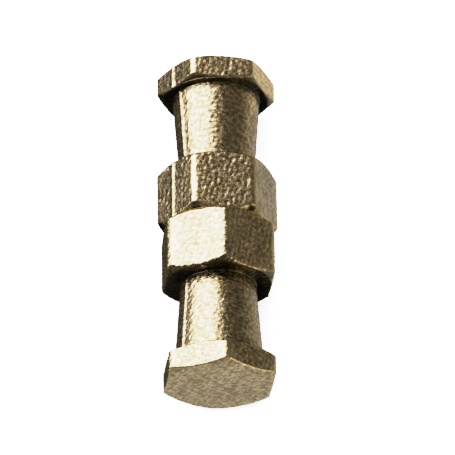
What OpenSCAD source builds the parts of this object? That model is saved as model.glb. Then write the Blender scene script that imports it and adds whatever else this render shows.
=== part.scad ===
// Double-ended hexagonal joining stud.
// Two like castings, each a thin hexagonal head, a tapering round neck and a thick hexagonal
// collar, stand collar to collar on one axis. A steel stud is pressed into the rear casting and
// screws into a threaded bush in the front casting. Screwed tight, the two hexagons stand at a
// set angle to each other. The front casting unscrews a little way to reach any other angle, and
// a nylon ring holds it there. The axis is Y. The stud lies on a flat surface, with +Z up, and
// the origin is on the axis at the plane where the two collars meet.

/* [Hexagons] */
// Width of each collar across its flats
collar_flats = 16; // [15.5:0.1:17]
// Width of each head across its flats
head_flats = 15.8; // [15.2:0.1:16]
// Radius that the hexagons' corners are turned down to
corner_r = 9.1; // [8.9:0.02:9.12]
// Slope of the domed chamfers on the collars' corners, from their end faces
collar_chamfer = 30; // [20:1:45]
// Slope of the domed chamfers on the heads' corners, from their end faces
head_chamfer = 22; // [15:1:45]
// Angle between the hexagons of the two castings
hex_turn = 30; // [0:1:60]

/* [Lengths of one casting] */
// Thickness of the head
head_l = 3.85; // [3:0.05:5]
// Length of the neck
neck_l = 12.6; // [10:0.1:16]
// Length of the collar
collar_l = 9.3; // [9:0.1:12]

/* [Neck] */
// Diameter of the neck where it meets the collar
neck_small_d = 11.3; // [11.2:0.1:12]
// Diameter of the neck where it meets the head
neck_large_d = 13.2; // [12:0.1:14]

/* [Screw] */
// Largest diameter of the stud's thread
thread_d = 7.9; // [7.8:0.02:7.9]
// Distance that the thread advances in one turn
pitch = 1.25; // [1:0.25:1.25]
// Turns that the front casting unscrews before the stop ring holds it
open_turns = 1.5; // [0.5:0.25:1.75]

/* [Stud] */
// Diameter of the stud's plain shank
shank_d = 8; // [8:0.1:8.2]
// Depth that the shank is pressed into the rear casting
shank_depth = 14; // [10:0.5:18]

/* [Hidden] */

half_l = head_l + neck_l + collar_l;
travel = open_turns * pitch;
round_fn = 96;
eps = 0.01;

brass = [0.62, 0.55, 0.40];
steel = [0.60, 0.61, 0.63];
black_steel = [0.20, 0.20, 0.22];
nylon = [0.90, 0.89, 0.84];

// Washer, half sunk in each collar
washer_d = 13;
washer_hole_d = 8.4;
washer_t = 1;
recess_d = washer_d + 0.2;

// Bush, pressed into the front casting behind the washer
bush_d = 11;
bush_start = washer_t / 2;
bush_end = 8.2;
bush_entry_d = 8.6;
bush_entry_end = 1.7;
lip_t = 0.6;
lip_d = 8.3;

// Nylon ring, held in the bush by the lip
ring_seat_start = 6.5;
ring_seat_end = bush_end - lip_t;
nylon_d = 9.8;
nylon_hole_d = 8.1;

// Stop ring, sprung into a groove near the stud's tip
stop_d = 9;
stop_hole_d = 5.6;
stop_t = 0.8;
stop_gap = 2.6;
stop_play = 0.06;
stop_start = bush_end + travel + stop_play;
groove_play = 0.04;

// Thread of the stud, and the clearances of the bush's thread
relief_start = 0.9;
relief_d = 6.2;
thread_start = 1.5;
tip = stop_start + stop_t + 1.2;
tip_chamfer = 0.7;
crest_half_turn = 15;
root_half_turn = 45;
flank_angle = 60;
thread_depth = pitch * (180 - crest_half_turn - root_half_turn) / 360 * tan(flank_angle);
radial_play = 0.12;
turn_play = 15;
steps_per_turn = 16;
section_points = 24;

// Drilled spaces
rear_bore_l = shank_depth + 0.5;
cavity_d = 9.3;
cavity_end = tip + 1;
drill_half_angle = 59;

// Carries a shape drawn along +Z from the mating plane into the rear casting, along +Y
module toward_rear() {
    rotate([-90, 0, 0]) children();
}

// The same into the front casting, along -Y
module toward_front() {
    rotate([90, 0, 0]) children();
}

// Hexagonal block from z0 to z1. Its corners are turned down, and a dome at each end chamfers
// them: the dome meets the end face in a circle that touches the flats.
module hex_block(flats, chamfer, z0, z1) {
    dome_r = (flats / 2 + corner_r) / 2 / sin(chamfer);
    sunk = sqrt(dome_r * dome_r - flats * flats / 4);
    intersection() {
        translate([0, 0, z0])
            cylinder(h = z1 - z0, d = flats / cos(30), $fn = 6);
        translate([0, 0, z0])
            cylinder(h = z1 - z0, r = corner_r, $fn = round_fn);
        translate([0, 0, z0 + sunk])
            sphere(r = dome_r, $fn = round_fn);
        translate([0, 0, z1 - sunk])
            sphere(r = dome_r, $fn = round_fn);
    }
}

// Outside of one casting, from the collar's face at z = 0 to the head's end
module casting() {
    rotate([0, 0, hex_turn / 2]) {
        hex_block(collar_flats, collar_chamfer, 0, collar_l);
        translate([0, 0, collar_l - 1])
            cylinder(h = 1 + eps, d = neck_small_d, $fn = round_fn);
        translate([0, 0, collar_l])
            cylinder(h = neck_l, d1 = neck_small_d, d2 = neck_large_d, $fn = round_fn);
        hex_block(head_flats, head_chamfer, collar_l + neck_l, half_l);
    }
}

// Drilled hole from the collar's face, with the drill's cone at its end
module drilled(d, depth) {
    translate([0, 0, -1])
        cylinder(h = depth + 1, d = d, $fn = round_fn);
    translate([0, 0, depth])
        cylinder(h = d / 2 / tan(drill_half_angle), d1 = d, d2 = 0, $fn = round_fn);
}

// Shallow recess for half of the washer's thickness
module washer_recess() {
    translate([0, 0, -1])
        cylinder(h = washer_t / 2 + 1, d = recess_d, $fn = round_fn);
}

// Radius of a screw thread's cross-section, a given part of a turn away from its crest
function thread_r(angle, crest_r, crest_turn, root_turn) =
    crest_r - thread_depth
        * min(1, max(0, (angle - crest_turn) / (180 - crest_turn - root_turn)));

// Right-handed thread from z0 to z1: one cross-section, turned once for each pitch
module thread(z0, z1, crest_r, crest_turn, root_turn) {
    turns = (z1 - z0) / pitch;
    translate([0, 0, z0])
        rotate([0, 0, 360 * z0 / pitch])
            linear_extrude(height = z1 - z0, twist = -360 * turns,
                           slices = ceil(turns * steps_per_turn))
                polygon([for (i = [0 : section_points - 1])
                    let (a = 360 * i / section_points, r = thread_r(min(a, 360 - a), crest_r,
                                                                    crest_turn, root_turn))
                    r * [cos(a), sin(a)]]);
}

module rear_half() {
    color(brass)
        toward_rear()
            difference() {
                casting();
                drilled(shank_d, rear_bore_l);
                washer_recess();
            }
}

module front_half() {
    color(brass)
        toward_front()
            difference() {
                casting();
                drilled(cavity_d, cavity_end);
                translate([0, 0, -1])
                    cylinder(h = bush_end + 1, d = bush_d, $fn = round_fn);
                washer_recess();
            }
}

// Shank in the rear casting, thread in the bush, and a groove for the stop ring
module pivot_stud() {
    color(steel)
        toward_front()
            difference() {
                union() {
                    translate([0, 0, -shank_depth])
                        cylinder(h = shank_depth + relief_start, d = shank_d, $fn = round_fn);
                    translate([0, 0, relief_start - 0.2])
                        cylinder(h = thread_start - relief_start + 0.4, d = relief_d,
                                 $fn = round_fn);
                    thread(thread_start, tip, thread_d / 2, crest_half_turn, root_half_turn);
                }
                translate([0, 0, stop_start - groove_play])
                    difference() {
                        cylinder(h = stop_t + 2 * groove_play, d = stop_d + 1, $fn = round_fn);
                        translate([0, 0, -1])
                            cylinder(h = stop_t + 2, d = stop_hole_d, $fn = round_fn);
                    }
                translate([0, 0, tip - tip_chamfer])
                    difference() {
                        cylinder(h = tip_chamfer + 1, d = stop_d, $fn = round_fn);
                        translate([0, 0, -eps])
                            cylinder(h = tip_chamfer + eps, d1 = thread_d + 2 * eps,
                                     d2 = thread_d - 2 * tip_chamfer, $fn = round_fn);
                    }
            }
}

// Steel bush with the thread, its entry, and the seat and lip that hold the nylon ring
module thread_bush() {
    color(steel)
        toward_front()
            difference() {
                translate([0, 0, bush_start])
                    cylinder(h = bush_end - bush_start, d = bush_d, $fn = round_fn);
                translate([0, 0, bush_start - 1])
                    cylinder(h = bush_entry_end - bush_start + 1, d = bush_entry_d,
                             $fn = round_fn);
                thread(bush_start, ring_seat_start + 0.5, thread_d / 2 + radial_play,
                       crest_half_turn + turn_play, root_half_turn - turn_play);
                translate([0, 0, ring_seat_start])
                    cylinder(h = ring_seat_end - ring_seat_start, d = nylon_d, $fn = round_fn);
                translate([0, 0, ring_seat_end - 0.2])
                    cylinder(h = lip_t + 1, d = lip_d, $fn = round_fn);
            }
}

module nylon_ring() {
    color(nylon)
        toward_front()
            translate([0, 0, ring_seat_start])
                difference() {
                    cylinder(h = ring_seat_end - ring_seat_start, d = nylon_d, $fn = round_fn);
                    translate([0, 0, -1])
                        cylinder(h = ring_seat_end - ring_seat_start + 2, d = nylon_hole_d,
                                 $fn = round_fn);
                }
}

// Split ring that stops against the bush when the front casting is unscrewed
module stop_ring() {
    color(black_steel)
        toward_front()
            translate([0, 0, stop_start])
                difference() {
                    cylinder(h = stop_t, d = stop_d, $fn = round_fn);
                    translate([0, 0, -1])
                        cylinder(h = stop_t + 2, d = stop_hole_d + 0.1, $fn = round_fn);
                    translate([0, -stop_gap / 2, -1])
                        cube([stop_d, stop_gap, stop_t + 2]);
                }
}

module thrust_washer() {
    color(steel)
        toward_front()
            translate([0, 0, -washer_t / 2])
                difference() {
                    cylinder(h = washer_t, d = washer_d, $fn = round_fn);
                    translate([0, 0, -1])
                        cylinder(h = washer_t + 2, d = washer_hole_d, $fn = round_fn);
                }
}

rear_half();
front_half();
pivot_stud();
thread_bush();
nylon_ring();
stop_ring();
thrust_washer();
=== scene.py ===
import bpy
import numpy as np
from mathutils import Matrix, Vector


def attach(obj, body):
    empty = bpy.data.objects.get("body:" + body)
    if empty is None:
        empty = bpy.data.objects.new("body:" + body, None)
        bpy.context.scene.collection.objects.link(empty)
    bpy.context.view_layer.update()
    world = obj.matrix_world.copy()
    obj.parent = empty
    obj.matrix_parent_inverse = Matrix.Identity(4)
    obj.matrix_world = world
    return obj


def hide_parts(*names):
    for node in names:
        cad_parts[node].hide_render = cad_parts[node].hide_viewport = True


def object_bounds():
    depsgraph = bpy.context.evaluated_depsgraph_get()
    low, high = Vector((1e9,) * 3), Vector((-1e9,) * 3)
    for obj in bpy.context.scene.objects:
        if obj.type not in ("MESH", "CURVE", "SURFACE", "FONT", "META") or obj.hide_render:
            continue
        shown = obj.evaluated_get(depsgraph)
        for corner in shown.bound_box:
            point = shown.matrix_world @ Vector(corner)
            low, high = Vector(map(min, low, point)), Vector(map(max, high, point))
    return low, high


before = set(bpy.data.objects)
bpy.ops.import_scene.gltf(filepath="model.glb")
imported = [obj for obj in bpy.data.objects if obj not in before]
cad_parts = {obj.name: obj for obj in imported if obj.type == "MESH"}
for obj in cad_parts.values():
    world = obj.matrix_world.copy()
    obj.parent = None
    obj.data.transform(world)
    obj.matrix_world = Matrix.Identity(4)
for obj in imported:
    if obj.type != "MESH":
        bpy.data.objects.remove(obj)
cad_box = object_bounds()
scene = bpy.context.scene

# ---- Camera ----------------------------------------------------------------------------------
# A long lens looks steeply down on the stud from its front end. The camera is turned about its
# own line of sight until the stud stands almost upright in the picture.
view_azimuth = np.radians(13.83)
view_elevation = np.radians(62.08)
view_roll = np.radians(16.36)
camera_distance = 0.7025
lens_mm, sensor_mm = 371.0, 36.0
aim_right = 0.00148
aim_up = 0.00047

to_camera = np.array([np.sin(view_azimuth) * np.cos(view_elevation),
                      -np.cos(view_azimuth) * np.cos(view_elevation),
                      np.sin(view_elevation)])
level_right = np.array([np.cos(view_azimuth), np.sin(view_azimuth), 0.0])
level_up = np.cross(to_camera, level_right)
picture_right = np.cos(view_roll) * level_right - np.sin(view_roll) * level_up
picture_up = np.cross(to_camera, picture_right)
camera_place = aim_right * picture_right + aim_up * picture_up + camera_distance * to_camera

camera_data = bpy.data.cameras.new("camera")
camera_data.lens = lens_mm
camera_data.sensor_width = sensor_mm
camera = bpy.data.objects.new("camera", camera_data)
camera_axes = np.column_stack([picture_right, picture_up, to_camera])
camera.matrix_world = Matrix.Translation(camera_place) @ Matrix(camera_axes.tolist()).to_4x4()
scene.collection.objects.link(camera)
scene.camera = camera

# ---- Highlights ------------------------------------------------------------------------------
# Bright tones roll off softly, as they do on film. Light up to about half of paper white is shown
# as it is. Above that a curve flattens, and only light of four times paper white is pure white.
brightest = 4.0
light_and_shown = [(0.2, 0.20), (0.4, 0.40), (0.6, 0.58), (0.8, 0.71),
                   (1.2, 0.82), (2.0, 0.89), (2.8, 0.94), (3.4, 0.98)]
scene.view_settings.view_transform = "Standard"
scene.view_settings.use_curve_mapping = True
shoulder = scene.view_settings.curve_mapping
shoulder.white_level = (brightest, brightest, brightest)
all_channels = shoulder.curves[3]
all_channels.points[0].location = (0.0, 0.0)
all_channels.points[1].location = (1.0, 1.0)
for light, shown in light_and_shown:
    all_channels.points.new(light / brightest, shown)
shoulder.update()

# ---- Studio light ----------------------------------------------------------------------------
# One large softbox stands to the left, behind and above the stud, and gives the metal its broad
# white highlight. A small warm lamp behind and a warm strip at the front right add warm glints,
# and those three light only the metal. A wide overhead light serves only the floor.


def area_light(name, place, width, height, radiance, colour=(1.0, 1.0, 1.0)):
    """A rectangular light of even radiance that faces the stud: power is pi x area x radiance."""
    data = bpy.data.lights.new(name, "AREA")
    data.shape = "RECTANGLE"
    data.size = width
    data.size_y = height
    data.energy = np.pi * width * height * radiance
    data.color = colour
    light = bpy.data.objects.new(name, data)
    light.location = place
    light.rotation_euler = Vector(place).to_track_quat("Z", "Y").to_euler()
    light.visible_camera = False
    scene.collection.objects.link(light)
    return light


key_light = area_light("key_softbox", place=(-0.2770, 0.2438, 0.3391), width=0.78, height=0.568,
                       radiance=5.4, colour=(0.92, 0.92, 1.0))
warm_lamp = area_light("warm_lamp", place=(0.072, 0.2275, 0.439), width=0.12, height=0.14,
                       radiance=0.5, colour=(1.0, 0.80, 0.46))
edge_strip = area_light("edge_strip", place=(0.36, -0.36, 0.035), width=0.24, height=0.16,
                        radiance=2.6, colour=(1.0, 0.88, 0.60))
for light in (key_light, warm_lamp, edge_strip):
    light.visible_diffuse = False
floor_light = area_light("floor_light", place=(0.0, 0.0, 1.2), width=3.0, height=3.0,
                         radiance=13.0)
floor_light.visible_glossy = False

# ---- Room ------------------------------------------------------------------------------------
# The room that the metal mirrors is dim behind and above the stud, and grows paler the nearer a
# direction is to one below it and to the front right. The camera itself sees plain white.
pale_towards = Vector((0.30, -0.35, -0.886)).normalized()
room_tones = [(0.0, (0.15, 0.14, 0.125)),
              (0.15, (0.36, 0.33, 0.275)),
              (0.33, (0.41, 0.39, 0.36)),
              (0.65, (0.58, 0.565, 0.54)),
              (0.95, (0.76, 0.745, 0.715))]
backdrop_strength = 5.0

world = bpy.data.worlds.new("studio")
scene.world = world
world.use_nodes = True
world.cycles.sampling_method = "NONE"
nodes, links = world.node_tree.nodes, world.node_tree.links
nodes.clear()
direction = nodes.new("ShaderNodeTexCoord")
facing = nodes.new("ShaderNodeVectorMath")
facing.operation = "DOT_PRODUCT"
facing.inputs[1].default_value = pale_towards
links.new(direction.outputs["Generated"], facing.inputs[0])
room = nodes.new("ShaderNodeValToRGB")
while len(room.color_ramp.elements) < len(room_tones):
    room.color_ramp.elements.new(1.0)
for element, (position, tone) in zip(room.color_ramp.elements, room_tones):
    element.position = position
    element.color = (*tone, 1.0)
links.new(facing.outputs["Value"], room.inputs["Fac"])
seen = nodes.new("ShaderNodeLightPath")
metal_sees = nodes.new("ShaderNodeBackground")
links.new(room.outputs["Color"], metal_sees.inputs["Color"])
backdrop = nodes.new("ShaderNodeBackground")
backdrop.inputs["Color"].default_value = (1.0, 1.0, 1.0, 1.0)
backdrop.inputs["Strength"].default_value = backdrop_strength
choose = nodes.new("ShaderNodeMixShader")
links.new(seen.outputs["Is Camera Ray"], choose.inputs["Fac"])
links.new(metal_sees.outputs["Background"], choose.inputs[1])
links.new(backdrop.outputs["Background"], choose.inputs[2])
output = nodes.new("ShaderNodeOutputWorld")
links.new(choose.outputs["Shader"], output.inputs["Surface"])

# ---- Floor -----------------------------------------------------------------------------------
# A plain pale sheet of paper that the stud lies on, wide enough to fill every view.
floor_half = 1.4
floor_z = cad_box[0][2]
paper_dark, paper_light = (0.86, 0.86, 0.86, 1.0), (0.90, 0.90, 0.90, 1.0)
floor_mesh = bpy.data.meshes.new("floor")
floor_mesh.from_pydata([(-floor_half, -floor_half, floor_z), (floor_half, -floor_half, floor_z),
                        (floor_half, floor_half, floor_z), (-floor_half, floor_half, floor_z)],
                       [], [(0, 1, 2, 3)])
floor = bpy.data.objects.new("floor", floor_mesh)
floor.visible_glossy = False
scene.collection.objects.link(floor)
paper = bpy.data.materials.new("pale_paper")
paper.use_nodes = True
paper_shader = paper.node_tree.nodes["Principled BSDF"]
paper_shader.inputs["Roughness"].default_value = 0.9
paper_shader.inputs["Specular IOR Level"].default_value = 0.1
paper_noise = paper.node_tree.nodes.new("ShaderNodeTexNoise")
paper_noise.inputs["Scale"].default_value = 60.0
paper_tone = paper.node_tree.nodes.new("ShaderNodeValToRGB")
paper_tone.color_ramp.elements[0].color = paper_dark
paper_tone.color_ramp.elements[1].color = paper_light
paper_place = paper.node_tree.nodes.new("ShaderNodeTexCoord")
paper.node_tree.links.new(paper_place.outputs["Object"], paper_noise.inputs["Vector"])
paper.node_tree.links.new(paper_noise.outputs["Fac"], paper_tone.inputs["Fac"])
paper.node_tree.links.new(paper_tone.outputs["Color"], paper_shader.inputs["Base Color"])
floor_mesh.materials.append(paper)

# ---- Mirrored paper --------------------------------------------------------------------------
# What the metal mirrors of the paper close by, as two flat cards that only mirrored rays meet: the
# stud's own contact shadow, under it and to its left, and paper that more light reaches, to the
# right of the rear head.
card_z = floor_z + 0.0002
cards = [("mirrored_shadow", (-0.0320, 0.0085), (-0.0235, 0.040), (0.008, 0.0077, 0.0065)),
         ("mirrored_paper", (0.0105, 0.030), (0.0265, 0.050), (0.133, 0.121, 0.098))]
for name, (left, right), (front, back), tone in cards:
    card_mesh = bpy.data.meshes.new(name)
    card_mesh.from_pydata([(left, front, card_z), (right, front, card_z), (right, back, card_z),
                           (left, back, card_z)], [], [(0, 1, 2, 3)])
    card = bpy.data.objects.new(name, card_mesh)
    card.visible_camera = False
    card.visible_diffuse = False
    card.visible_shadow = False
    card.visible_transmission = False
    scene.collection.objects.link(card)
    card_paper = bpy.data.materials.new(name)
    card_paper.use_nodes = True
    card_shader = card_paper.node_tree.nodes["Principled BSDF"]
    card_shader.inputs["Base Color"].default_value = (*tone, 1.0)
    card_shader.inputs["Roughness"].default_value = 1.0
    card_shader.inputs["Specular IOR Level"].default_value = 0.0
    card_mesh.materials.append(card_paper)

# ---- The two castings ------------------------------------------------------------------------
# Each half is a brass casting: a thin hexagonal head, a tapering neck and a thick hexagonal
# collar. The skin is left as cast, with sand grain and the mould's trimmed parting line. Only the
# face that meets the other half, and the bores behind it, are turned.
mm = 0.001
collar_flats, head_flats = 16.0, 15.8
hex_corner_r = 1.0
head_l, neck_l, collar_l = 3.85, 12.6, 9.3
half_l = head_l + neck_l + collar_l
neck_small_r, neck_large_r = 5.65, 6.6
collar_chamfer, head_chamfer = np.tan(np.radians(30.0)), np.tan(np.radians(22.0))
beyond_corner_r = 9.4
edge_softness = 0.55
row_step = 0.2
columns = 384
grain_size, grain_height = 0.80, 0.018
parting_angle = np.radians(-48.5)
parting_height, parting_width, parting_wander = 0.17, 0.36, 0.02
neck_smoothness, head_smoothness = 0.65, 0.8
swell_height, end_sink = 0.008, 0.07
rim_wear_outside, rim_wear_inside, corner_wear = 0.7, 0.12, 0.3
# Reach of the painted shade at the neck's roots and at the corners of the joint.
root_shade_width, joint_shade_height, joint_shade_width = 0.15, 0.8, 0.75
head_edge_r, flat_edge_r, neck_fillet_r, mouth_chamfer = 0.3, 0.2, 0.15, 0.15


def filleted(corners, step):
    """Points along an outline. Each corner is (radius, height, fillet radius); the straights
    between are cut into equal steps, and a corner's fillet is an arc tangent to both sides."""
    corners = np.array(corners, float)
    places, rounds = corners[:, :2], corners[:, 2]
    run = [places[:1]]
    at = places[0]
    for i in range(1, len(places)):
        along = places[i] - places[i - 1]
        along = along / np.linalg.norm(along)
        start, end, turn = places[i], places[i], 0.0
        if i + 1 < len(places) and rounds[i] > 0:
            onward = places[i + 1] - places[i]
            onward = onward / np.linalg.norm(onward)
            turn = np.arccos(np.clip(along @ onward, -1, 1))
            reach = rounds[i] * np.tan(turn / 2)
            start, end = places[i] - reach * along, places[i] + reach * onward
        count = max(1, int(round(np.linalg.norm(start - at) / step)))
        run.append(at + (start - at) * (np.arange(1, count + 1) / count)[:, None])
        if turn > 0:
            count = max(3, int(round(1.5 * rounds[i] * turn / step)))
            share = (np.arange(1, count + 1) / count)[:, None]
            side = (onward - along * (along @ onward)) / np.sin(turn)
            run.append(start + rounds[i] * (along * np.sin(turn * share)
                                            + side * (1 - np.cos(turn * share))))
        at = end
    return np.concatenate(run)


def hexagon_radius(from_flat, flats, corner_r):
    """Distance from the axis to a hexagon with rounded corners: the flat's half width over the
    cosine of the angle from its middle or, near a corner, where the ray meets the corner's arc."""
    from_corner = np.pi / 6 - np.abs(from_flat)
    centre = (flats / 2 - corner_r) / np.cos(np.pi / 6)
    arc_ends = np.arctan2(corner_r / 2, centre + corner_r * np.cos(np.pi / 6))
    inside = np.maximum(corner_r ** 2 - (centre * np.sin(from_corner)) ** 2, 0)
    on_arc = centre * np.cos(from_corner) + np.sqrt(inside)
    return np.where(from_corner < arc_ends, on_arc, flats / 2 / np.cos(from_flat))


def soft_min(a, b, width):
    """The smaller of two values, with the step between them rounded off over a given width."""
    near = np.maximum(width - np.abs(a - b), 0) / width
    return np.minimum(a, b) - near * near * width / 4


def waves(points, length, count, seed, squeeze=1.0):
    """Random relief: the sum of plane waves whose directions and phases are random and whose
    lengths lie round the one given, scaled to a spread of one. A squeeze shortens it along Y."""
    rng = np.random.default_rng(seed)
    way = rng.normal(size=(count, 3))
    way /= np.linalg.norm(way, axis=1, keepdims=True)
    number = 2 * np.pi / (length * rng.uniform(0.7, 1.5, count))
    phase = rng.uniform(0, 2 * np.pi, count)
    squeezed = points.reshape(-1, 3) * (1.0, squeeze, 1.0)
    total = np.cos(squeezed @ (way * number[:, None]).T + phase).sum(axis=1)
    return (np.sqrt(2 / count) * total).reshape(points.shape[:-1])


def normals_of(points):
    """Unit normals of a grid that closes round its columns: the cross product of its central
    differences, turned to point away from the axis on the whole."""
    down = np.gradient(points, axis=0)
    along = np.roll(points, -1, axis=1) - np.roll(points, 1, axis=1)
    out = np.cross(down, along)
    out = out / np.maximum(np.linalg.norm(out, axis=-1, keepdims=True), 1e-12)
    return out * np.sign(np.sum(out[..., [0, 2]] * points[..., [0, 2]]))


def grid_piece(name, points, material, ends, attributes=None):
    """A closed piece from a grid of points in millimetres whose columns close on themselves.
    With ends, the first and last rows are one point each; without, the last row joins the first.
    The sign of the volume says which way the faces are turned outwards."""
    rows, cols = points.shape[:2]

    def packed(values):
        """The values in the order of the mesh's points, with one value for each end."""
        if not ends:
            return values.reshape(-1, *values.shape[2:])
        inner = values[1:-1].reshape(-1, *values.shape[2:])
        return np.concatenate([values[:1, 0], inner, values[-1:, 0]])

    flat = packed(points)
    if ends:
        index = 1 + np.arange((rows - 2) * cols).reshape(rows - 2, cols)
        first, last = index[0], index[-1]
        fans = np.concatenate([
            np.stack([np.roll(first, -1), first, np.zeros(cols, int)], -1),
            np.stack([last, np.roll(last, -1), np.full(cols, len(flat) - 1)], -1)])
    else:
        index = np.arange(rows * cols).reshape(rows, cols)
        index = np.concatenate([index, index[:1]])
        fans = np.zeros((0, 3), int)
    here, there = index[:-1], index[1:]
    quads = np.stack([here, np.roll(here, -1, 1), np.roll(there, -1, 1), there], -1).reshape(-1, 4)
    corner = flat[np.concatenate([quads[:, [0, 1, 2]], quads[:, [0, 2, 3]], fans])]
    volume = np.einsum("ij,ij->", corner[:, 0], np.cross(corner[:, 1], corner[:, 2]))
    if volume < 0:
        quads, fans = quads[:, ::-1], fans[:, ::-1]
    mesh = bpy.data.meshes.new(name)
    mesh.from_pydata(flat * mm, [], quads.tolist() + fans.tolist())
    mesh.shade_smooth()
    mesh.set_sharp_from_angle(angle=np.radians(48))
    for label, values in (attributes or {}).items():
        layer = mesh.attributes.new(label, "FLOAT", "POINT")
        layer.data.foreach_set("value", packed(values).astype(np.float32))
    mesh.materials.append(material)
    piece = bpy.data.objects.new(name, mesh)
    scene.collection.objects.link(piece)
    return piece


def noise(tree, scale, detail, vector):
    """A noise texture's value."""
    node = tree.nodes.new("ShaderNodeTexNoise")
    node.inputs["Scale"].default_value = scale
    node.inputs["Detail"].default_value = detail
    tree.links.new(vector, node.inputs["Vector"])
    return node.outputs["Fac"]


def ramp(tree, factor, low, low_colour, high, high_colour):
    """A colour that goes from one to the other as a value goes from low to high."""
    node = tree.nodes.new("ShaderNodeValToRGB")
    for element, position, colour in zip(node.color_ramp.elements, (low, high),
                                         (low_colour, high_colour)):
        element.position = position
        element.color = (*colour, 1.0)
    tree.links.new(factor, node.inputs["Fac"])
    return node.outputs["Color"]


def blend(tree, factor, first, second, how="MIX"):
    """Two colours mixed by a value, which is a socket or a number. The mix node has a set of
    sockets for each kind of value, and those of its colours are found by their numbers."""
    first_colour, second_colour, mixed_colour = 6, 7, 2
    node = tree.nodes.new("ShaderNodeMix")
    node.data_type = "RGBA"
    node.blend_type = how
    if isinstance(factor, float):
        node.inputs["Factor"].default_value = factor
    else:
        tree.links.new(factor, node.inputs["Factor"])
    tree.links.new(first, node.inputs[first_colour])
    tree.links.new(second, node.inputs[second_colour])
    return node.outputs[mixed_colour]


def attribute(tree, label):
    """The value of one of the mesh's own attributes."""
    node = tree.nodes.new("ShaderNodeAttribute")
    node.attribute_name = label
    return node.outputs["Fac"]


def new_metal(name):
    """A metal material, with its node tree, its shader and its place on the object."""
    material = bpy.data.materials.new(name)
    material.use_nodes = True
    tree = material.node_tree
    shader = tree.nodes["Principled BSDF"]
    shader.inputs["Metallic"].default_value = 1.0
    place = tree.nodes.new("ShaderNodeTexCoord").outputs["Object"]
    return material, tree, shader, place


def cast_brass():
    """Tarnished brass as it leaves the mould: an olive film, darkest in the hollows of the grain,
    that is rubbed down to warm metal on the edges, and clean brass where the tool has been."""
    material, tree, shader, place = new_metal("cast_brass")
    hollows = ramp(tree, attribute(tree, "grain"), 0.28, (0.33, 0.255, 0.135),
                   0.72, (0.58, 0.47, 0.28))
    specks = ramp(tree, noise(tree, 2300.0, 3.0, place), 0.40, (0.34, 0.32, 0.28),
                  0.60, (0.70, 0.70, 0.69))
    stains = ramp(tree, noise(tree, 800.0, 4.0, place), 0.36, (0.74, 0.71, 0.66),
                  0.62, (1.0, 1.0, 1.0))
    skin = blend(tree, 1.0, blend(tree, 0.6, hollows, specks, "OVERLAY"), stains, "MULTIPLY")
    worn = ramp(tree, noise(tree, 1500.0, 3.0, place), 0.3, (0.66, 0.50, 0.22),
                0.7, (0.86, 0.69, 0.37))
    # Painted shade: a near-black tone that stands in for the shade at the neck's roots, on the end
    # faces that look towards the neck, and in the pockets at the collars' joint.
    painted_shade_tone = ramp(tree, noise(tree, 1800.0, 2.0, place), 0.35, (0.008, 0.007, 0.005),
                0.7, (0.035, 0.028, 0.017))
    skin = blend(tree, attribute(tree, "painted_shade"), skin, painted_shade_tone)
    rubbed = blend(tree, attribute(tree, "edge_wear"), skin, worn)
    turned = ramp(tree, noise(tree, 700.0, 2.0, place), 0.3, (0.66, 0.50, 0.26),
                  0.7, (0.76, 0.60, 0.33))
    tree.links.new(blend(tree, attribute(tree, "machined"), rubbed, turned),
                   shader.inputs["Base Color"])
    tree.links.new(ramp(tree, noise(tree, 2700.0, 2.0, place), 0.38, (0.16, 0.16, 0.16),
                        0.62, (0.36, 0.36, 0.36)), shader.inputs["Roughness"])
    bump = tree.nodes.new("ShaderNodeBump")
    bump.inputs["Strength"].default_value = 0.9
    bump.inputs["Distance"].default_value = 0.00005
    tree.links.new(noise(tree, 3000.0, 2.0, place), bump.inputs["Height"])
    tree.links.new(bump.outputs["Normal"], shader.inputs["Normal"])
    return material


brass = cast_brass()


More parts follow.
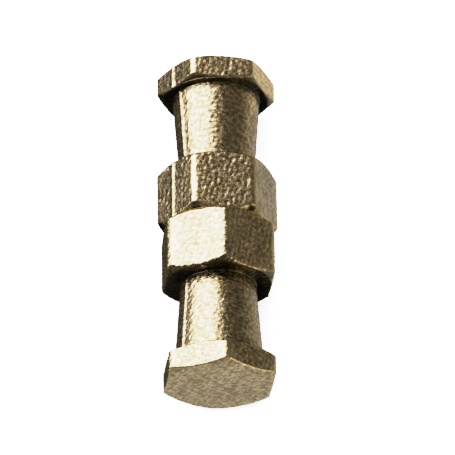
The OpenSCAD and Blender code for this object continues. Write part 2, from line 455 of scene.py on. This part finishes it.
def casting(name, direction, corner_angle, bores, seed):
    """One half. Its radius at each angle and height is the soft minimum of a turned outline and a
    rounded hexagon; the parting line and the sand grain are then raised along the normals.
    direction is the way from the collars' plane to the head along Y, and angles go from +Z
    towards +X."""
    head_start = collar_l + neck_l
    head_drop = (beyond_corner_r - head_flats / 2) * head_chamfer
    collar_drop = (beyond_corner_r - collar_flats / 2) * collar_chamfer
    mouth_r = bores[0][0] + mouth_chamfer
    outside = filleted([
        (0, half_l, 0), (head_flats / 2, half_l, head_edge_r),
        (beyond_corner_r, half_l - head_drop, 0), (beyond_corner_r, head_start + head_drop, 0),
        (head_flats / 2, head_start, flat_edge_r), (neck_large_r, head_start, neck_fillet_r),
        (neck_small_r, collar_l, neck_fillet_r), (collar_flats / 2, collar_l, flat_edge_r),
        (beyond_corner_r, collar_l - collar_drop, 0), (beyond_corner_r, collar_drop, 0),
        (collar_flats / 2, 0, flat_edge_r), (mouth_r, 0, 0)], row_step)
    inside = filleted([(mouth_r, 0, 0)] + bores, 4 * row_step)[1:]
    path = np.concatenate([outside, inside])
    radius, height = path[:, :1], path[:, 1:]
    is_outside = np.arange(len(path))[:, None] < len(outside)
    cast = is_outside & ((height > 0.02) | (radius > collar_flats / 2))

    angle = np.arange(columns) * 2 * np.pi / columns
    from_flat = (angle - corner_angle) % (np.pi / 3) - np.pi / 6
    flats = np.where(height > collar_l + neck_l / 2, head_flats, collar_flats)
    hexagon = hexagon_radius(from_flat, flats, hex_corner_r)
    rho = np.where(is_outside, soft_min(radius, hexagon, edge_softness), radius)
    points = np.stack([rho * np.sin(angle), direction * height + 0 * rho, rho * np.cos(angle)], -1)
    normal = normals_of(points)

    on_neck = (radius < neck_large_r + 0.1) & (height > collar_l) & (height < head_start)
    skin = cast * np.minimum(radius / 2.0, 1.0) * np.where(on_neck, neck_smoothness, 1.0)
    skin = skin * np.where(height > head_start, head_smoothness, 1.0)
    from_parting = (angle - parting_angle + np.pi / 2) % np.pi - np.pi / 2
    wander = parting_wander * waves(points, 9.0, 12, seed + 3)
    ridge = np.exp(-((from_parting * rho + wander) / parting_width) ** 2)
    ridge = ridge * (np.abs(normal[:, :, 1]) < 0.5)
    grain = waves(points, grain_size, 90, seed, 1.25)
    swell = waves(points, 4.0, 24, seed + 1)
    relief = skin * (grain_height * grain * (1 - 0.8 * ridge) + swell_height * swell)
    relief = relief + cast * parting_height * ridge
    relief = relief - end_sink * (height > head_start) * np.abs(normal[:, :, 1])
    points = points + normal * relief[:, :, None]

    to_corner = (np.pi / 6 - np.abs(from_flat)) * rho
    is_hex = radius > neck_large_r + 0.3
    past_rim = radius - hexagon
    rim_wear = np.where(past_rim > 0, rim_wear_outside, rim_wear_inside)
    at_rim = np.exp(-(past_rim / rim_wear) ** 2)
    at_corner = np.exp(-(to_corner / corner_wear) ** 2) * (past_rim > -0.1)
    wear = is_hex * np.maximum(at_rim, at_corner)
    # Painted shade: these masks darken the colour where the neck meets the head and the collar, on
    # the end faces turned towards the neck, and at the corners of the joint between the halves,
    # where shade falls. It is darkest next to the neck.
    from_root = np.minimum(np.abs(height - head_start), np.abs(height - collar_l))
    in_corner = np.exp(-(from_root / root_shade_width) ** 2)
    facing_root = np.clip(1.6 * np.abs(normal[:, :, 1]) - 0.15, 0, 1)
    facing_root = facing_root * (height > 4) * (height < head_start + 1)
    neck_r = np.where(height > collar_l + neck_l / 2, neck_large_r, neck_small_r)
    facing_root = facing_root * (0.7 + 0.3 * np.exp(-((radius - neck_r) / 1.3) ** 2))
    at_joint = np.exp(-(height / joint_shade_height) ** 4)
    at_joint = at_joint * np.exp(-(to_corner / joint_shade_width) ** 4)
    at_joint = at_joint * np.clip(3 * np.abs(normal[:, :, 1]) - 0.8, 0, 1)
    in_corner = in_corner * (radius < neck_large_r + 0.1)
    in_shade = np.maximum(np.maximum(in_corner, facing_root), at_joint)
    painted_shade = cast * np.clip(in_shade * (1 + 0.15 * swell), 0, 1)
    wear = cast * np.clip(0.8 * wear * (0.8 + 0.3 * swell), 0, 1) * (1 - 0.95 * painted_shade)
    marks = {"edge_wear": wear, "machined": 1.0 - cast + 0 * rho,
             "grain": np.clip(0.5 + 0.25 * grain, 0, 1), "painted_shade": painted_shade}
    piece = grid_piece(name, points, brass, True, marks)
    return piece


recess_r, recess_depth = 6.6, 0.5
bush_r, bush_end = 5.5, 8.2
cavity_r, cavity_end = 4.65, 13.135
shank_r, rear_bore_l = 4.0, 14.5
drill_cone = 1 / np.tan(np.radians(59.0))
front_casting = casting("front_casting", -1, np.radians(15), [
    (recess_r, mouth_chamfer, 0), (recess_r, recess_depth, 0), (bush_r, recess_depth, 0),
    (bush_r, bush_end, 0), (cavity_r, bush_end, 0), (cavity_r, cavity_end, 0),
    (0, cavity_end + cavity_r * drill_cone, 0)], 11)
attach(front_casting, "front")
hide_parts("front_half")
rear_casting = casting("rear_casting", 1, np.radians(-15), [
    (recess_r, mouth_chamfer, 0), (recess_r, recess_depth, 0), (shank_r, recess_depth, 0),
    (shank_r, rear_bore_l, 0), (0, rear_bore_l + shank_r * drill_cone, 0)], 29)
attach(rear_casting, "rear")
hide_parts("rear_half")

# ---- Pivot stud ------------------------------------------------------------------------------
# A zinc-plated steel stud. Its plain shank is pressed into the rear casting, and its rolled
# M8 thread screws into the bush. A groove near the tip holds the stop ring.
pitch = 1.25
thread_crest_r = 3.95
crest_half, root_half = 15.0, 45.0
thread_depth = pitch * (180.0 - crest_half - root_half) / 360.0 * np.tan(np.radians(60.0))
thread_start, stud_tip = 1.5, 12.135
groove_start, groove_end, groove_r = 10.095, 10.975, 2.8
shank_end, shank_chamfer = -14.0, 0.4
relief_start, relief_r = 0.9, 3.1
blank_r, tip_chamfer = 4.0, 0.75
plain_step, thread_step = 0.25, 0.06
turned_columns = 128


def thread_radius(angle, height, crest_r, crest, root):
    """Radius of a right-handed 60 degree thread: flat crests and roots, and straight flanks
    between them, by the angle round from the crest, which goes once round in each pitch."""
    round_from = np.degrees(2 * np.pi * height / pitch - (np.pi / 2 - angle))
    from_crest = np.abs((round_from + 180.0) % 360.0 - 180.0)
    return crest_r - thread_depth * np.clip((from_crest - crest) / (180.0 - crest - root), 0, 1)


def turned(path, columns_round):
    """Radius, height and angle grids for an outline turned about the axis."""
    angle = np.arange(columns_round) * 2 * np.pi / columns_round
    return path[:, :1] + 0 * angle, path[:, 1:] + 0 * angle, angle + 0 * path[:, :1]


def placed(radius, height, angle):
    """Points of the front side: height runs from the collars' plane along -Y."""
    return np.stack([radius * np.sin(angle), -height, radius * np.cos(angle)], -1)


def turned_steel(name, tone, rough, plated=0.0):
    """Turned steel: tool marks that circle the axis, as noise on the distance from the axis and
    the height, under a thin mottled film."""
    material, tree, shader, place = new_metal(name)
    split = tree.nodes.new("ShaderNodeSeparateXYZ")
    tree.links.new(place, split.inputs["Vector"])
    flat = tree.nodes.new("ShaderNodeCombineXYZ")
    tree.links.new(split.outputs["X"], flat.inputs["X"])
    tree.links.new(split.outputs["Z"], flat.inputs["Z"])
    from_axis = tree.nodes.new("ShaderNodeVectorMath")
    from_axis.operation = "LENGTH"
    tree.links.new(flat.outputs["Vector"], from_axis.inputs[0])
    circles = tree.nodes.new("ShaderNodeCombineXYZ")
    tree.links.new(from_axis.outputs["Value"], circles.inputs["X"])
    tree.links.new(split.outputs["Y"], circles.inputs["Y"])
    dark = tuple(0.78 * value for value in tone)
    film = (tone[0], tone[1] * (1 - 0.04 * plated), tone[2] * (1 - 0.16 * plated))
    mottle = ramp(tree, noise(tree, 900.0, 3.0, place), 0.35, dark, 0.65, tone)
    bloom = ramp(tree, noise(tree, 260.0, 2.0, place), 0.4, tone, 0.6, film)
    tree.links.new(blend(tree, 0.5, mottle, bloom), shader.inputs["Base Color"])
    marks = noise(tree, 9000.0, 2.0, circles.outputs["Vector"])
    tree.links.new(ramp(tree, marks, 0.3, (rough, rough, rough),
                        0.7, (rough + 0.14, rough + 0.14, rough + 0.14)),
                   shader.inputs["Roughness"])
    bump = tree.nodes.new("ShaderNodeBump")
    bump.inputs["Strength"].default_value = 0.5
    bump.inputs["Distance"].default_value = 0.00001
    tree.links.new(marks, bump.inputs["Height"])
    tree.links.new(bump.outputs["Normal"], shader.inputs["Normal"])
    return material


shank_path = filleted([
    (0, shank_end, 0), (shank_r - shank_chamfer, shank_end, 0),
    (shank_r, shank_end + shank_chamfer, 0), (shank_r, relief_start, 0.1),
    (relief_r, relief_start, 0.1), (relief_r, thread_start, 0),
    (blank_r, thread_start + blank_r - relief_r, 0)], plain_step)
thread_path = filleted([
    (blank_r, thread_start + blank_r - relief_r, 0), (blank_r, groove_start, 0),
    (groove_r, groove_start, 0.1), (groove_r, groove_end, 0.1), (blank_r, groove_end, 0),
    (blank_r, stud_tip - tip_chamfer, 0), (blank_r - tip_chamfer, stud_tip, 0),
    (0, stud_tip, 0)], thread_step)
radius, height, angle = turned(np.concatenate([shank_path, thread_path[1:]]), turned_columns)
threaded = thread_radius(angle, height, thread_crest_r, crest_half, root_half)
radius = np.where(height > thread_start, np.minimum(radius, threaded), radius)
pivot = grid_piece("pivot_pin", placed(radius, height, angle),
                   turned_steel("plated_steel", (0.66, 0.66, 0.67), 0.16, plated=1.0), True)
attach(pivot, "rear")
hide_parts("pivot_stud")

# ---- Thread bush -----------------------------------------------------------------------------
# A turned steel bush, pressed into the front collar behind the washer. It carries the thread that
# the stud turns in, and a lip at its end away from the washer holds the nylon ring.
radial_play, turn_play = 0.12, 15.0
bush_start, bush_chamfer, bush_bore_r = 0.5, 0.15, 3.2
entry_r, entry_end = 4.3, 1.7
seat_r, seat_start, seat_end = 4.9, 6.5, 7.6
lip_r = 4.15
bush_path = filleted([
    (entry_r, bush_start, 0), (bush_r - bush_chamfer, bush_start, 0),
    (bush_r, bush_start + bush_chamfer, 0), (bush_r, bush_end - bush_chamfer, 0),
    (bush_r - bush_chamfer, bush_end, 0), (lip_r, bush_end, 0), (lip_r, seat_end, 0),
    (seat_r, seat_end, 0), (seat_r, seat_start, 0), (bush_bore_r, seat_start, 0)], plain_step)
bush_thread_path = filleted([
    (bush_bore_r, seat_start, 0), (bush_bore_r, entry_end, 0), (entry_r, entry_end, 0),
    (entry_r, bush_start + 0.05, 0)], thread_step)
bush_outline = np.concatenate([bush_path, bush_thread_path[1:]])
radius, height, angle = turned(bush_outline, turned_columns)
threaded = thread_radius(angle, height, thread_crest_r + radial_play,
                         crest_half + turn_play, root_half - turn_play)
in_thread = (radius < entry_r) & (height <= seat_start) & (height >= entry_end)
radius = np.where(in_thread, np.maximum(radius, threaded), radius)
bush = grid_piece("threaded_bush", placed(radius, height, angle),
                  turned_steel("bush_steel", (0.55, 0.555, 0.57), 0.22), False)
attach(bush, "front")
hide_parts("thread_bush")

# ---- Nylon ring ------------------------------------------------------------------------------
# A moulded nylon ring, held in the bush by the lip. It rubs on the stud's thread and keeps the
# front half at the angle that it is turned to.
nylon_hole_r, nylon_edge_r = 4.05, 0.15
nylon_middle = (seat_start + seat_end) / 2
ring_outline = filleted([
    (nylon_hole_r, nylon_middle, 0), (nylon_hole_r, seat_start, nylon_edge_r),
    (seat_r, seat_start, nylon_edge_r), (seat_r, seat_end, nylon_edge_r),
    (nylon_hole_r, seat_end, nylon_edge_r), (nylon_hole_r, nylon_middle, 0)], thread_step)[:-1]
nylon = bpy.data.materials.new("moulded_nylon")
nylon.use_nodes = True
tree = nylon.node_tree
shader = tree.nodes["Principled BSDF"]
shader.inputs["Subsurface Weight"].default_value = 0.15
shader.inputs["Subsurface Radius"].default_value = (0.0006, 0.0005, 0.0004)
shader.inputs["Subsurface Scale"].default_value = 1.0
place = tree.nodes.new("ShaderNodeTexCoord").outputs["Object"]
tree.links.new(ramp(tree, noise(tree, 800.0, 2.0, place), 0.3, (0.80, 0.78, 0.69),
                    0.7, (0.88, 0.87, 0.80)), shader.inputs["Base Color"])
tree.links.new(ramp(tree, noise(tree, 3000.0, 2.0, place), 0.3, (0.38, 0.38, 0.38),
                    0.7, (0.52, 0.52, 0.52)), shader.inputs["Roughness"])
nylon_piece = grid_piece("nylon_insert", placed(*turned(ring_outline, turned_columns)), nylon,
                         False)
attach(nylon_piece, "front")
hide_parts("nylon_ring")

# ---- Stop ring -------------------------------------------------------------------------------
# A split ring of blackened spring steel, sprung into the stud's groove. It meets the bush when the
# front half is unscrewed, so that the halves can't come apart.
stop_start, stop_end = 10.135, 10.935
stop_inner_r, stop_outer_r, stop_gap = 2.85, 4.5, 2.6
stop_edge_r, stop_seam_r, stop_sections = 0.12, 3.7, 97
stop_outline = filleted([
    (stop_seam_r, stop_start, 0), (stop_outer_r, stop_start, stop_edge_r),
    (stop_outer_r, stop_end, stop_edge_r), (stop_inner_r, stop_end, stop_edge_r),
    (stop_inner_r, stop_start, stop_edge_r), (stop_seam_r, stop_start, 0)], 0.08)[:-1]
sweep = np.linspace(0, 1, stop_sections)[:, None]
half_gap = np.arcsin(stop_gap / 2 / stop_outline[:, 0])
angle = np.pi / 2 + half_gap + sweep * (2 * np.pi - 2 * half_gap)
section = placed(stop_outline[:, 0] + 0 * angle, stop_outline[:, 1] + 0 * angle, angle)
first_end = section[:1].mean(axis=1, keepdims=True)
last_end = section[-1:].mean(axis=1, keepdims=True)
whole = np.concatenate([first_end + 0 * section[:1], section, last_end + 0 * section[:1]])
stop = grid_piece("split_stop_ring", whole,
                  turned_steel("spring_steel", (0.13, 0.13, 0.145), 0.28), True)
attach(stop, "rear")
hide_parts("stop_ring")

# ---- Thrust washer ---------------------------------------------------------------------------
# A ground steel washer, half sunk in each collar, that takes the pressure between the castings
# when the stud is screwed tight.
washer_outer_r, washer_inner_r, washer_seam_r = 6.5, 4.2, 5.3
washer_half_t, washer_edge_r, washer_columns = 0.5, 0.14, 160
washer_outline = filleted([
    (washer_seam_r, -washer_half_t, 0), (washer_outer_r, -washer_half_t, washer_edge_r),
    (washer_outer_r, washer_half_t, washer_edge_r),
    (washer_inner_r, washer_half_t, washer_edge_r),
    (washer_inner_r, -washer_half_t, washer_edge_r),
    (washer_seam_r, -washer_half_t, 0)], 0.12)[:-1]
washer = grid_piece("ground_washer", placed(*turned(washer_outline, washer_columns)),
                    turned_steel("washer_steel", (0.62, 0.625, 0.64), 0.18), False)
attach(washer, "washer")
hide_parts("thrust_washer")
